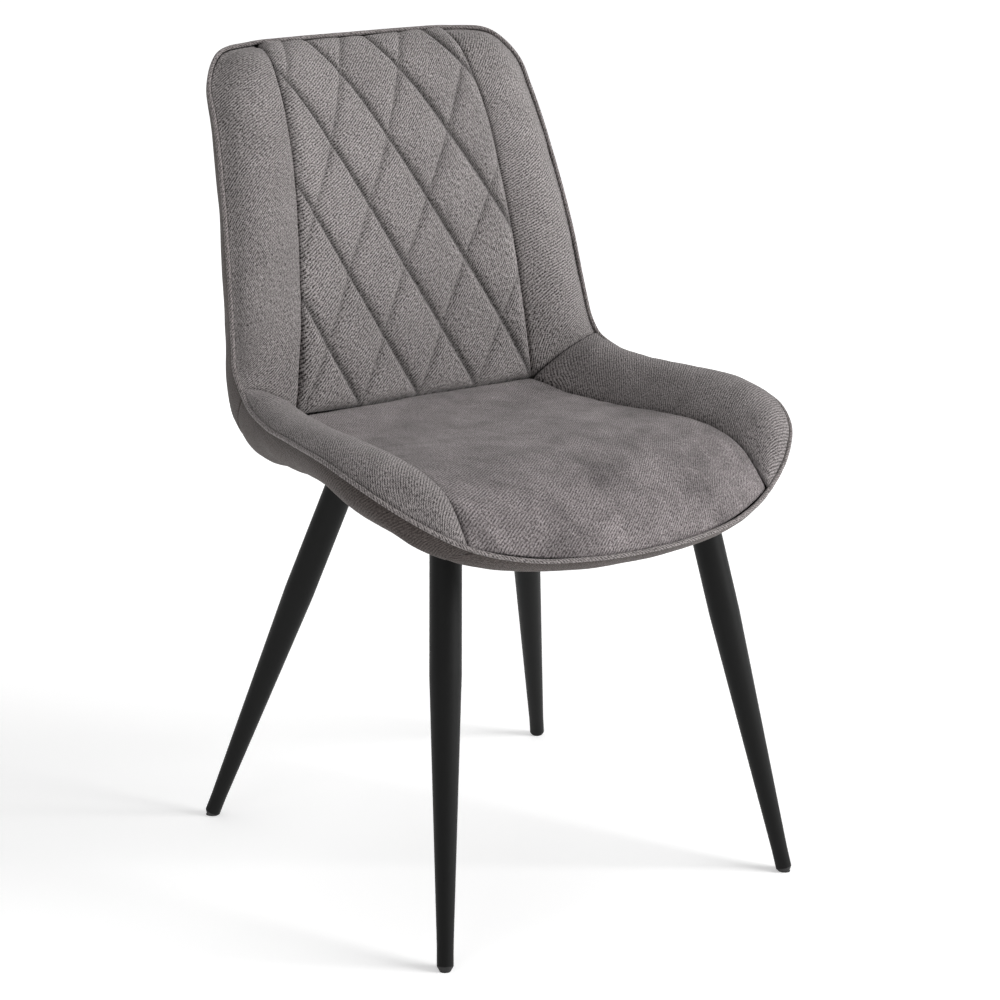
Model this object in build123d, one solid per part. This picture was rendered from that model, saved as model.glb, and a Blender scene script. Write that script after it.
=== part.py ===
from build123d import *
import math
import os

# Upholstered dining chair: a moulded bucket shell padded with foam, sewn covers with a
# piped edge, and four tapered steel legs bolted through plates to a plywood seat board.
# Millimetres. The chair faces -Y, +Z is up and the floor is z = 0.

# ---- driving dimensions -----------------------------------------------------------------
FRAME_Y = 4.0             # the origin lies this far behind the drawing's y = 0 plane

COVER = 1.2               # thickness of every fabric panel
LAYER_GAP = 1.0           # clearance between neighbouring layers
SHELL_WALL = 8.0          # moulded shell
COVER_SHARE = 0.35        # most of the depth that cover and clearance take near the piping
SHELL_SHARE = 0.5         # and that the shell takes of what is left
SHELL_NARROWER = 1.030    # the covers are this much wider than the shell inside them
COVER_RIM_SHARE = 0.12    # a cover thins to this share of the depth at the piping
PIPING_RADIUS = 2.3       # sewn welt round the face of the chair
PIPING_BORE = 1.5         # radius inside the folded strip of the welt
PIPING_CORD_RADIUS = 1.2  # filler cord inside the welt
SEAM_GAP = 0.6            # between two panels that are sewn together
FOAM_GAP = 1.6            # between two neighbouring foam blocks
FOAM_CLEARANCE = 1.5      # between foam and shell

LEG_RADIUS = 16.0         # upper, straight part of each leg tube
LEG_END_RADIUS = 8.4      # lower end of the taper
LEG_WALL = 1.5
TAPER_START = 290.0       # distances along the leg from the floor
TAPER_END = 25.0
TUBE_END = 5.0
LEG_BLANK = 480.0         # tube length before its top is cut level
CUTTER = 900.0            # side of the square blocks that cut legs and caps level
FOOT_CAP_BEVEL = 2.6
FOOT_PLUG_LENGTH = 22.0
FOOT_PLUG_PLAY = 0.05
FOOT_BLANK = 4.0          # cap length below the floor before its sole is cut level

BOARD_BOTTOM = 408.0      # plywood seat board
BOARD_THICKNESS = 12.0
DUST_COVER = 0.6
PLATE_SIZE = 60.0         # leg mounting plate, square
PLATE_THICKNESS = 3.0
PLATE_CORNER = 8.0
PLATE_INSET = 6.0         # plate centre is this far inboard of the leg axis
BOLT_SPACING = 42.0
BOLT_RADIUS = 2.95        # M6
BOLT_HOLE_RADIUS = 3.3
BOLT_HEAD_RADIUS = 5.5
BOLT_HEAD_HEIGHT = 3.3
BOLT_LENGTH = 15.0
HEX_KEY = 4.0             # across flats of the socket in the bolt head
WASHER_RADIUS = 6.2
WASHER_THICKNESS = 1.2
TNUT_BARREL_RADIUS = 4.0
TNUT_FLANGE_RADIUS = 9.5
TNUT_FLANGE = 1.2
TNUT_LENGTH = 9.0
STAPLE = (10.0, 1.2, 0.6)
STAPLE_FRONT = (-177.0, 25.0, 4)      # y of the front row, spacing and staples each side
STAPLE_REAR = (133.0, 20.0, 3)
STAPLE_SIDES = (131.0, -42.0, 24.0, 5)    # x of a side row, first y, spacing and count

BOARD_FRONT, BOARD_SHOULDER, BOARD_REAR = -186.0, -118.0, 142.0    # y of the seat board
BOARD_WIDE, BOARD_NARROW = 181.0, 139.0   # half widths at the front and rear legs
BOARD_TAPER = 62.0        # length over which it narrows
BOARD_CORNER = 14.0

# Foot of each leg on the floor, and how far its axis leans per millimetre of height
FRONT_FOOT = (213.6, -242.0)
FRONT_LEAN = (-0.1474, 0.2171)
REAR_FOOT = (219.4, 229.8)
REAR_LEAN = (-0.2673, -0.2981)

# Rails of the right half (x >= 0) of the upholstered face, as (x, y, z)
EDGE = [                                            # piping, top centre round to front centre
    (0, 275, 842), (70, 274.5, 842), (125, 271, 841), (170, 256, 835), (193, 235.5, 807.5),
    (197.5, 217, 776), (206.5, 186, 703), (215.5, 161, 625), (222.5, 143, 550), (225, 137, 528),
    (226, 124, 512), (232, 98, 499.5), (241, 50, 492), (253, -30, 493), (262, -110, 493),
    (259, -158, 484), (246, -190, 470), (222, -215, 451), (180, -239, 426),
    (130, -260, 412), (70, -274, 406), (0, -279, 404)]
SEAT_SEAM = [                                       # seat panel to side panel, rear to front
    (150, 141, 468), (156, 65, 464), (165, -18, 467.5), (171, -90, 474), (174, -150, 475),
    (176, -195, 464), (180, -239, 426)]
QUILT_SEAM = [                                      # quilted panel to wing, bottom to top
    (150, 141, 468), (140, 145, 553), (133, 157.5, 637), (127, 172, 700), (123.5, 188, 750),
    (120, 210, 792), (117, 237, 826), (114, 271, 842)]
SEAT_CENTRE = [                                     # centre line of the seat, rear to front
    (0, 142, 468), (0, 80, 465), (0, 0, 470), (0, -90, 478), (0, -160, 478),
    (0, -215, 464), (0, -255, 438), (0, -279, 404)]
BACK_CENTRE = [                                     # centre line of the back, bottom to top
    (0, 142, 468), (0, 155, 540), (0, 169, 608), (0, 182.5, 678), (0, 201, 741),
    (0, 233, 800), (0, 275, 842)]
EDGE_AT_CREASE = 10       # index in EDGE where the wing seam meets the piping
EDGE_AT_SEAT_SEAM = 18    # index in EDGE where the seat seam meets the piping
EDGE_AT_QUILT_SEAM = 1.8  # index in EDGE where the quilt seam meets the piping

# Crown of the padding over the straight line from seam to piping, as (x, y, z)
BOLSTER_CROWN = (5.0, 0.0, 23.0)
WING_CROWN = (1.8, -11.6, 2.4)
CREASE_CROWN = (0.0, -9.5, 11.0)  # of both, where wing and bolster are sewn together
CREASE_BLEND = 0.14       # fraction of the rails over which that turns into their own crown

CROWN_ROUNDNESS = 0.75    # power of the sine arch that the crown follows
FULL_CROWN_SPAN = 60.0    # a side panel narrower than this is crowned less

# How sharply a panel's y and z rise towards its sides, as powers of the side fraction
SEAT_DISH = (2.2, 2.6)
BACK_DISH = (2.0, 2.0)
BASE_DISH = (2.2, 2.6)

# Stations run from 0 at the front lip, through the crease, to 1 at the top of the back.
CREASE = 0.45
# Depth of the upholstery, face to outer cover, as (station, depth)
DEPTH_CENTRE = [
    (0, 42), (0.10, 42), (0.14, 48), (0.18, 56), (0.26, 56), (0.34, 47), (0.39, 44),
    (0.43, 52), (0.46, 58), (0.56, 48.5), (0.80, 46), (1, 46)]
DEPTH_SIDE = [
    (0, 42), (0.10, 42), (0.18, 47), (0.26, 38), (0.34, 43.5), (0.41, 62), (0.47, 71.5),
    (0.56, 62.5), (0.80, 48.5), (1, 48.5)]
CENTRE_ENDS = (0.62, 0.86)  # side fractions between which the centre depth fades out
SEAT_SIDE_POWER = 10.2    # how squarely the depth closes towards the piping, at the seat
BACK_SIDE_POWER = 9.0     # and at the back
SEAT_FLARE = 0.30         # how far the depth direction leans outwards at the seat's sides
BACK_FLARE = -0.06
LIP_LEAN = 0.67           # and backwards at the front lip
LIP_LEAN_END = 0.14       # station where that backward lean ends
LIP_END = 0.167           # station where the front lip reaches full depth
LIP_POWER = 5.5
TOP_START = 0.80          # station where the top edge starts to thin
TOP_POWER = 2.2
CORNER_CUT = 0.25         # extra thinning at the back's top corners
CORNER_STATIONS = (0.74, 0.88)    # where that thinning comes in
BACK_RECLINE = 79.0       # degrees the depth direction turns from seat to back

# ---- curves -----------------------------------------------------------------------------


def blend(low, high, value):
    """Smooth step from 0 at low to 1 at high."""
    x = min(1.0, max(0.0, (value - low) / (high - low)))
    return x * x * (3 - 2 * x)


def station_value(table, station):
    """Smoothly interpolated value of a (station, value) table."""
    for (s0, v0), (s1, v1) in zip(table, table[1:]):
        if station <= s1:
            return v0 + (v1 - v0) * blend(s0, s1, station)
    return table[-1][1]


def rail_point(rail, index):
    """Point on the smooth curve through a rail; a whole index is a rail point."""
    points = [Vector(*p) for p in rail]
    last = len(points) - 1
    index = min(max(index, 0.0), last - 1e-9)
    i = int(index)
    f = index - i

    def at(j):
        if 0 <= j <= last:
            return points[j]
        # past the centre plane a rail continues as its own mirror image
        inner = points[1] if j < 0 else points[last - 1]
        end = points[0] if j < 0 else points[last]
        if end.X == 0 and inner.X != 0:
            return Vector(-inner.X, inner.Y, inner.Z)
        return end * 2 - inner

    p0, p1, p2, p3 = at(i - 1), at(i), at(i + 1), at(i + 2)
    d0, d1, d2 = (p1 - p0).length, (p2 - p1).length, (p3 - p2).length
    m1 = ((p1 - p0) * (d1 / d0) + (p2 - p1) * (d0 / d1)) * (d1 / (d0 + d1))
    m2 = ((p2 - p1) * (d2 / d1) + (p3 - p2) * (d1 / d2)) * (d1 / (d1 + d2))
    return (p1 * (2 * f**3 - 3 * f**2 + 1) + m1 * (f**3 - 2 * f**2 + f)
            + p2 * (3 * f**2 - 2 * f**3) + m2 * (f**3 - f**2))


def along(rail, v, start=0.0, end=None):
    """Point at the fraction v of a rail, or of its stretch from start to end."""
    end = len(rail) - 1 if end is None else end
    return rail_point(rail, start + (end - start) * v)


# ---- the upholstered face ---------------------------------------------------------------


def seat_edge(v):
    return along(EDGE, v, EDGE_AT_CREASE, EDGE_AT_SEAT_SEAM)


def back_edge(v):
    return along(EDGE, v, EDGE_AT_CREASE, EDGE_AT_QUILT_SEAM)


def spread(centre, side, across, dish):
    """Point across a panel: 0 on the centre line, +-1 on its side rails."""
    t = abs(across)
    step = side - centre
    x = math.copysign(step.X * t, across)
    y_power, z_power = dish
    return Vector(x, centre.Y + step.Y * t**y_power, centre.Z + step.Z * t**z_power)


def padded(seam, edge, across, v, crown):
    """Point across a side panel: 0 on its seam, 1 on the piping, crowned between."""
    own = blend(0, CREASE_BLEND, v)
    top = Vector(*CREASE_CROWN) * (1 - own) + Vector(*crown) * own
    room = min(1.0, (edge - seam).length / FULL_CROWN_SPAN)
    rise = math.sin(math.pi * across) ** CROWN_ROUNDNESS if 0 < across < 1 else 0.0
    return seam + (edge - seam) * across + top * (rise * room)


def seat_face(across, v):
    return spread(along(SEAT_CENTRE, v), along(SEAT_SEAM, v), across, SEAT_DISH)


def back_face(across, v):
    return spread(along(BACK_CENTRE, v), along(QUILT_SEAM, v), across, BACK_DISH)


def bolster_face(across, v):
    return padded(along(SEAT_SEAM, v), seat_edge(v), across, v, BOLSTER_CROWN)


def wing_face(across, v):
    return padded(along(QUILT_SEAM, v), back_edge(v), across, v, WING_CROWN)


# ---- the depth below the face -----------------------------------------------------------


def base(station, side):
    """Smooth surface through the centre line and the piping; side runs from -1 to 1."""
    if station <= CREASE:
        v = 1 - station / CREASE
        return spread(along(SEAT_CENTRE, v), seat_edge(v), side, BASE_DISH)
    v = (station - CREASE) / (1 - CREASE)
    return spread(along(BACK_CENTRE, v), back_edge(v), side, BASE_DISH)


def upright(station):
    """0 over the seat, 1 over the back, turning smoothly round the crease."""
    return blend(CREASE - 0.10, CREASE + 0.08, station)


def inward(station, side):
    """Direction from the face towards the outer cover."""
    up = upright(station)
    turn = math.radians(BACK_RECLINE) * up
    lip = 1 - blend(0, LIP_LEAN_END, station)
    flare = SEAT_FLARE + (BACK_FLARE - SEAT_FLARE) * up
    x = math.copysign(flare * side**4, side)
    return Vector(x, math.sin(turn) + LIP_LEAN * lip, -math.cos(turn)).normalized()


def depth(station, side):
    """Depth of the upholstery, closing to nothing at the piping."""
    t = min(1.0, abs(side))
    power = SEAT_SIDE_POWER + (BACK_SIDE_POWER - SEAT_SIDE_POWER) * upright(station)
    rim = min(1.0, max(0.0, station - TOP_START) / (1 - TOP_START)) ** TOP_POWER
    corner = CORNER_CUT * blend(*CORNER_STATIONS, station) * t**6 * (1 - rim)
    full = station_value(DEPTH_SIDE, station)
    deeper = (station_value(DEPTH_CENTRE, station) - full) * (1 - blend(*CENTRE_ENDS, t))
    lip = math.sqrt(1 - (1 - min(1.0, station / LIP_END)) ** LIP_POWER)
    closing = math.sqrt((1 - t**power) * (1 - rim)) * (1 - corner)
    return (full * closing + deeper * math.sqrt(1 - rim)) * lip


def shell_depths(station, side):
    """Depths of the shell's inner and outer faces; it thins towards the piping."""
    total = min(depth(station, side), depth(station, side * SHELL_NARROWER))
    outer = total - min(COVER + LAYER_GAP, COVER_SHARE * total)
    return outer - min(SHELL_WALL, SHELL_SHARE * outer), outer


def below(station, side, amount):
    return base(station, side) + inward(station, side) * amount


def side_of(point, station):
    """Side fraction, from -1 to 1, of a point of the face at a station."""
    return max(-1.0, min(1.0, point.X / base(station, 1.0).X))


# ---- solids from point grids ------------------------------------------------------------


def fractions(count, easing=0.0):
    """Fractions from 0 to 1, closer together at both ends as easing goes to 1."""
    values = [i / count for i in range(count + 1)]
    return [(1 - easing) * x + easing * (1 - math.cos(math.pi * x)) / 2 for x in values]


def smooth_face(grid):
    return Face.make_surface_from_array_of_points(grid, tol=0.1, smoothing=(1, 1, 1), max_deg=6)


def skin(upper, lower):
    """Closed solid between two grids of points with the same shape."""
    top, bottom = smooth_face(upper), smooth_face(lower)

    def distance(a, b):
        straight = (a @ 0 - b @ 0).length + (a @ 1 - b @ 1).length
        crossed = (a @ 0 - b @ 1).length + (a @ 1 - b @ 0).length
        return (a @ 0.5 - b @ 0.5).length + min(straight, crossed)

    walls = []
    for edge in top.edges():
        partner = min(bottom.edges(), key=lambda other: distance(edge, other))
        walls.append(Face.make_surface_from_curves(edge, partner))
    return Solid(Shell([top, bottom] + walls))


def mirrored(solid):
    return mirror(solid, about=Plane.YZ)


# ---- covers and foam of one padded region -----------------------------------------------


def region(face, rows, columns, station_of, first, last):
    """Cover panel and foam block under a stretch of the face.

    rows are fractions along the region, columns fractions across it, and first and last
    are the depths, as functions, where the layer starts and ends.
    """
    upper, lower = [], []
    for v in rows:
        station = station_of(v)
        upper_row, lower_row = [], []
        for u in columns(v):
            point = face(u, v)
            side = side_of(point, station)
            direction = inward(station, side)
            upper_row.append(point + direction * first(station, side))
            lower_row.append(last(point, direction, station, side))
        upper.append(upper_row)
        lower.append(lower_row)
    return skin(upper, lower)


def cover_panel(face, rows, columns, station_of):
    def bottom(point, direction, station, side):
        return point + direction * COVER
    return region(face, rows, columns, station_of, lambda station, side: 0.0, bottom)


def foam_block(face, rows, columns, station_of):
    def bottom(point, direction, station, side):
        return below(station, side, shell_depths(station, side)[0] - FOAM_CLEARANCE)
    return region(face, rows, columns, station_of,
                  lambda station, side: COVER + LAYER_GAP, bottom)


def seat_station(v):
    return CREASE * (1 - v)


def back_station(v):
    return CREASE + (1 - CREASE) * v


def stretch(start, end, values):
    return [start + (end - start) * x for x in values]


def trim(width, lost):
    """Fraction of a width that is left when a margin is taken off its end."""
    return max(0.5, 1 - lost / max(width, 1e-6))


def centre_columns(seam, gap):
    def columns(v):
        half = trim(seam(v).X, gap / 2)
        return stretch(-half, half, fractions(16))
    return columns


def side_columns(seam, edge, gap, margin):
    def columns(v):
        width = (edge(v) - seam(v)).length
        return stretch(gap / 2 / width, trim(width, margin), fractions(14, 0.6))
    return columns


def seat_seam(v):
    return along(SEAT_SEAM, v)


def quilt_seam(v):
    return along(QUILT_SEAM, v)


PIPING_MARGIN = PIPING_RADIUS + 1.5       # side panels stop this far from the piping's centre
FOAM_MARGIN = PIPING_MARGIN + 3.0         # and their foam this far
CENTRE_COVER = (0.002, 0.989)             # stretches of the rails that each layer covers
CENTRE_FOAM = (0.012, 0.975)
BOLSTER_COVER = (0.004, 0.965)
WING_COVER = (0.004, 0.95)
SIDE_FOAM = (0.015, 0.93)


def build_region(name, face, stations, seam, edge, cover_stretch, foam_stretch):
    """Cover panel and foam block of one region; edge is None for a middle one."""
    if edge is None:
        cover_columns, foam_columns = centre_columns(seam, SEAM_GAP), centre_columns(seam, FOAM_GAP)
    else:
        cover_columns = side_columns(seam, edge, SEAM_GAP, PIPING_MARGIN)
        foam_columns = side_columns(seam, edge, FOAM_GAP, FOAM_MARGIN)
    cover_rows = stretch(*cover_stretch, fractions(30, 0.3))
    foam_rows = stretch(*foam_stretch, fractions(30, 0.3))
    return {
        name[0]: cover_panel(face, cover_rows, cover_columns, stations),
        name[1]: foam_block(face, foam_rows, foam_columns, stations),
    }


def build_regions():
    """Covers and foam of the seat, its bolsters, the back and its wings.

    Each stretch is the part of the rails, from the crease outwards, a layer covers.
    """
    nodes = {}
    nodes.update(build_region(("seat_centre_panel", "seat_foam"), seat_face, seat_station,
                              seat_seam, None, CENTRE_COVER, CENTRE_FOAM))
    nodes.update(build_region(("back_quilted_panel", "back_foam"), back_face, back_station,
                              quilt_seam, None, CENTRE_COVER, CENTRE_FOAM))
    nodes.update(build_region(("seat_side_panel_right", "seat_bolster_foam_right"), bolster_face,
                              seat_station, seat_seam, seat_edge, BOLSTER_COVER, SIDE_FOAM))
    nodes.update(build_region(("back_wing_panel_right", "back_wing_foam_right"), wing_face,
                              back_station, quilt_seam, back_edge, WING_COVER, SIDE_FOAM))
    for name in [name for name in nodes if name.endswith("_right")]:
        nodes[name.replace("_right", "_left")] = mirrored(nodes[name])
    return nodes


# ---- shell and outer covers -------------------------------------------------------------


def slab(stations, sides, depths):
    """Layer below the base surface; sides gives the side fractions at each station."""
    upper, lower = [], []
    for station in stations:
        pairs = [(side, depths(station, side)) for side in sides(station)]
        upper.append([below(station, side, near) for side, (near, far) in pairs])
        lower.append([below(station, side, far) for side, (near, far) in pairs])
    return skin(upper, lower)


def cover_depths(station, side):
    total = depth(station, side)
    return total - min(COVER, COVER_RIM_SHARE * total), total


SIDE_LIMIT = 0.963        # the shell stops inside the piping
COVER_LIMIT = 0.9965      # the outer cover runs up to the piping
FRONT_START = 0.002       # station where the covers start at the front lip
BACK_END = 0.997          # and where the back cover ends at the top
SHELL_STATIONS = (0.006, 0.982)
BAND_SIDE = 0.985         # side fraction of the band's seam at the piping
COVER_SEAM = 0.001        # half a sewn seam between covers, as a fraction
BAND_END = 0.13           # station where the front band tucks under the seat board
TUCK_SIDE = 0.62          # side fraction where the covers tuck under the seat board
BACK_COVER_START = CREASE - 0.025


def build_shell():
    stations = stretch(*SHELL_STATIONS, fractions(60, 0.3))
    sides = stretch(-SIDE_LIMIT, SIDE_LIMIT, fractions(28, 0.8))
    return slab(stations, lambda station: sides, shell_depths)


def band_limit(station):
    """Side fraction of the seam between the front band and the side covers."""
    return BAND_SIDE - (BAND_SIDE - TUCK_SIDE) * blend(0, BAND_END, station)


def build_outer_covers():
    """Back cover, front band and the side covers between them; the middle stays open."""
    back_sides = stretch(-COVER_LIMIT, COVER_LIMIT, fractions(28, 0.8))
    back = slab(stretch(BACK_COVER_START, BACK_END, fractions(44, 0.3)),
                lambda station: back_sides, cover_depths)

    def band_sides(station):
        limit = band_limit(station) - COVER_SEAM
        return stretch(-limit, limit, fractions(26))

    def side_sides(station):
        return stretch(band_limit(station) + COVER_SEAM, COVER_LIMIT, fractions(18, 0.6))

    band = slab(stretch(FRONT_START, BAND_END, fractions(16, 0.4)), band_sides, cover_depths)
    right = slab(stretch(FRONT_START, BACK_COVER_START - COVER_SEAM, fractions(40, 0.4)),
                 side_sides, cover_depths)
    return {
        "outer_back_cover": back,
        "front_band": band,
        "outer_side_cover_right": right,
        "outer_side_cover_left": mirrored(right),
    }


# ---- piping -----------------------------------------------------------------------------


def piping_path(end_gap):
    """Points along the whole edge with the inward and upward directions of its section."""
    half = 66
    last = len(EDGE) - 1
    short = end_gap / (EDGE[-2][0] - EDGE[-1][0])
    path = [rail_point(EDGE, (last - short) * i / half) for i in range(half + 1)]
    loop = [Vector(-p.X, p.Y, p.Z) for p in reversed(path[1:])] + path
    frames = []
    for i, point in enumerate(loop):
        tangent = (loop[min(i + 1, len(loop) - 1)] - loop[max(i - 1, 0)]).normalized()
        inner = tangent.cross(Vector(0, -0.8, 0.6)).normalized()
        frames.append((point, inner, inner.cross(tangent).normalized()))
    return frames


def arc_rows(frames, radius, start, end):
    """One arc of points round each frame, from start to end degrees off its inner side."""
    angles = [math.radians(start + (end - start) * i / 12) for i in range(13)]
    return [[point + inner * (radius * math.cos(a)) + over * (radius * math.sin(a))
             for a in angles] for point, inner, over in frames]


def build_piping():
    """Strip folded round a cord, open towards the seam it is sewn into."""
    strip = piping_path(0.3)
    cord = piping_path(0.9)
    return {
        "edge_piping": skin(arc_rows(strip, PIPING_RADIUS, 25, 335),
                            arc_rows(strip, PIPING_BORE, 25, 335)),
        "piping_cord": skin(arc_rows(cord, PIPING_CORD_RADIUS, 4, 176),
                            arc_rows(cord, PIPING_CORD_RADIUS, -4, -176)),
    }


# ---- legs and their fixings -------------------------------------------------------------

PLATE_TOP = BOARD_BOTTOM - DUST_COVER
PLATE_BOTTOM = PLATE_TOP - PLATE_THICKNESS
LEGS = [(end, side) for end in ("front", "rear") for side in ("left", "right")]


def leg_plane(end, side):
    """Plane at the foot of a leg whose normal is the leg's axis."""
    sign = -1 if side == "left" else 1
    foot, lean = (FRONT_FOOT, FRONT_LEAN) if end == "front" else (REAR_FOOT, REAR_LEAN)
    axis = Vector(sign * lean[0], lean[1], 1)
    return Plane(origin=(sign * foot[0], foot[1], 0), x_dir=(0, 1, -lean[1]), z_dir=axis)


def plate_centre(end, side):
    sign = -1 if side == "left" else 1
    foot, lean = (FRONT_FOOT, FRONT_LEAN) if end == "front" else (REAR_FOOT, REAR_LEAN)
    x = foot[0] + lean[0] * PLATE_BOTTOM - PLATE_INSET
    return sign * x, foot[1] + lean[1] * PLATE_BOTTOM


def turned(profile):
    """Solid of revolution about Z of a closed (radius, height) outline."""
    outline = Polyline(*[(r, 0, z) for r, z in profile], close=True)
    return revolve(make_face(outline), axis=Axis.Z)


def build_leg(end, side):
    tube = turned([
        (LEG_END_RADIUS, TUBE_END), (LEG_END_RADIUS, TAPER_END), (LEG_RADIUS, TAPER_START),
        (LEG_RADIUS, LEG_BLANK), (LEG_RADIUS - LEG_WALL, LEG_BLANK),
        (LEG_RADIUS - LEG_WALL, TAPER_START), (LEG_END_RADIUS - LEG_WALL, TAPER_END),
        (LEG_END_RADIUS - LEG_WALL, TUBE_END)])
    tube = leg_plane(end, side) * tube
    above = Pos(0, 0, PLATE_BOTTOM + CUTTER / 2) * Box(CUTTER, CUTTER, CUTTER)
    return tube - above


def build_foot_cap(end, side):
    bore = LEG_END_RADIUS - LEG_WALL - FOOT_PLUG_PLAY
    pad = LEG_END_RADIUS - FOOT_CAP_BEVEL
    cap = turned([
        (0, -FOOT_BLANK), (pad, -FOOT_BLANK), (pad, 0), (LEG_END_RADIUS, TUBE_END - 0.6),
        (LEG_END_RADIUS, TUBE_END), (bore, TUBE_END), (bore, FOOT_PLUG_LENGTH - 1),
        (bore - 1, FOOT_PLUG_LENGTH), (0, FOOT_PLUG_LENGTH)])
    floor = Pos(0, 0, -CUTTER / 2) * Box(CUTTER, CUTTER, CUTTER)
    return leg_plane(end, side) * cap - floor


def bolt_places():
    half = BOLT_SPACING / 2
    for end, side in LEGS:
        x, y = plate_centre(end, side)
        for dx in (-half, half):
            for dy in (-half, half):
                yield x + dx, y + dy


def build_plate(end, side):
    x, y = plate_centre(end, side)
    outline = RectangleRounded(PLATE_SIZE, PLATE_SIZE, PLATE_CORNER)
    plate = extrude(outline, PLATE_THICKNESS)
    holes = GridLocations(BOLT_SPACING, BOLT_SPACING, 2, 2) * Cylinder(BOLT_HOLE_RADIUS, 20)
    return Pos(x, y, PLATE_BOTTOM) * (plate - holes)


def build_bolt():
    """M6 button-head screw, its head's bearing face at z = 0 and its shank upwards."""
    head = turned([
        (0, -BOLT_HEAD_HEIGHT), (BOLT_HEAD_RADIUS * 0.55, -BOLT_HEAD_HEIGHT),
        (BOLT_HEAD_RADIUS * 0.85, -BOLT_HEAD_HEIGHT * 0.7),
        (BOLT_HEAD_RADIUS, -BOLT_HEAD_HEIGHT * 0.2), (BOLT_HEAD_RADIUS, 0),
        (BOLT_RADIUS, 0), (BOLT_RADIUS, BOLT_LENGTH), (0, BOLT_LENGTH)])
    socket = extrude(RegularPolygon(HEX_KEY / 2, 6, major_radius=False), 2)
    return head - Pos(0, 0, -BOLT_HEAD_HEIGHT) * socket


def build_washer():
    return turned([
        (BOLT_HOLE_RADIUS, 0), (WASHER_RADIUS, 0), (WASHER_RADIUS, WASHER_THICKNESS),
        (BOLT_HOLE_RADIUS, WASHER_THICKNESS)])


def build_tnut():
    """T-nut, its flange's top at z = 0 and its barrel downwards."""
    bore = BOLT_RADIUS + 0.05
    return turned([
        (bore, 0), (TNUT_FLANGE_RADIUS, 0), (TNUT_FLANGE_RADIUS, -TNUT_FLANGE),
        (TNUT_BARREL_RADIUS, -TNUT_FLANGE), (TNUT_BARREL_RADIUS, -TNUT_LENGTH),
        (bore, -TNUT_LENGTH)])


def board_outline(inset):
    """Seat board seen from above: wide at the front legs, narrower at the rear ones."""
    front, rear = BOARD_FRONT + inset, BOARD_REAR - inset
    wide, narrow = BOARD_WIDE - inset, BOARD_NARROW - inset
    waist = BOARD_SHOULDER + BOARD_TAPER
    points = [(-wide, front), (wide, front), (wide, BOARD_SHOULDER), (narrow, waist),
              (narrow, rear), (-narrow, rear), (-narrow, waist), (-wide, BOARD_SHOULDER)]
    return fillet(make_face(Polyline(*points, close=True)).vertices(), BOARD_CORNER)


def build_board():
    top = BOARD_BOTTOM + BOARD_THICKNESS
    board = Pos(0, 0, BOARD_BOTTOM) * extrude(board_outline(0), BOARD_THICKNESS)
    for x, y in bolt_places():
        board -= Pos(x, y, BOARD_BOTTOM + 5) * Cylinder(TNUT_BARREL_RADIUS + 0.1, 40)
        board -= Pos(x, y, top) * Cylinder(TNUT_FLANGE_RADIUS + 0.2, 2 * TNUT_FLANGE + 0.1)
    return board


def build_dust_cover():
    sheet = Pos(0, 0, BOARD_BOTTOM - DUST_COVER) * extrude(board_outline(2), DUST_COVER - 0.1)
    for x, y in bolt_places():
        sheet -= Pos(x, y, BOARD_BOTTOM) * Cylinder(BOLT_HOLE_RADIUS, 10)
    return sheet


def build_staples():
    """Staples that hold the dust cover, along its four long sides."""
    length, width, height = STAPLE
    z = BOARD_BOTTOM - DUST_COVER - height / 2 - 0.02
    staples = []
    for y, spacing, count in (STAPLE_FRONT, STAPLE_REAR):
        for i in range(-count, count + 1):
            staples.append(Pos(spacing * i, y, z) * Box(length, width, height))
    x, first, spacing, count = STAPLE_SIDES
    for i in range(count):
        for side in (-1, 1):
            staples.append(Pos(side * x, first + spacing * i, z) * Box(width, length, height))
    return staples


def group(pieces):
    return Compound([piece.solids()[0] for piece in pieces])


def build_fixings():
    seat_of_head = PLATE_BOTTOM - WASHER_THICKNESS
    board_top = BOARD_BOTTOM + BOARD_THICKNESS
    bolt, washer, tnut = build_bolt(), build_washer(), build_tnut()
    return {
        "leg_bolts": group([Pos(x, y, seat_of_head) * bolt for x, y in bolt_places()]),
        "leg_washers": group([Pos(x, y, seat_of_head) * washer for x, y in bolt_places()]),
        "board_tnuts": group([Pos(x, y, board_top) * tnut for x, y in bolt_places()]),
        "dust_cover_staples": group(build_staples()),
    }


# ---- assembly ---------------------------------------------------------------------------


def build_chair():
    nodes = build_regions()
    nodes["bucket_shell"] = build_shell()
    nodes.update(build_outer_covers())
    nodes.update(build_piping())
    nodes["seat_board"] = build_board()
    nodes["dust_cover"] = build_dust_cover()
    for end, side in LEGS:
        nodes[f"leg_{end}_{side}"] = build_leg(end, side)
        nodes[f"leg_plate_{end}_{side}"] = build_plate(end, side)
        nodes[f"foot_cap_{end}_{side}"] = build_foot_cap(end, side)
    nodes.update(build_fixings())
    return nodes


os.makedirs("parts", exist_ok=True)
for name, shape in build_chair().items():
    export_step(Pos(0, -FRAME_Y, 0) * shape, f"parts/{name}.step")
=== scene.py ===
import math

import bpy
import bmesh
import numpy as np
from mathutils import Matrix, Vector, noise


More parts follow.
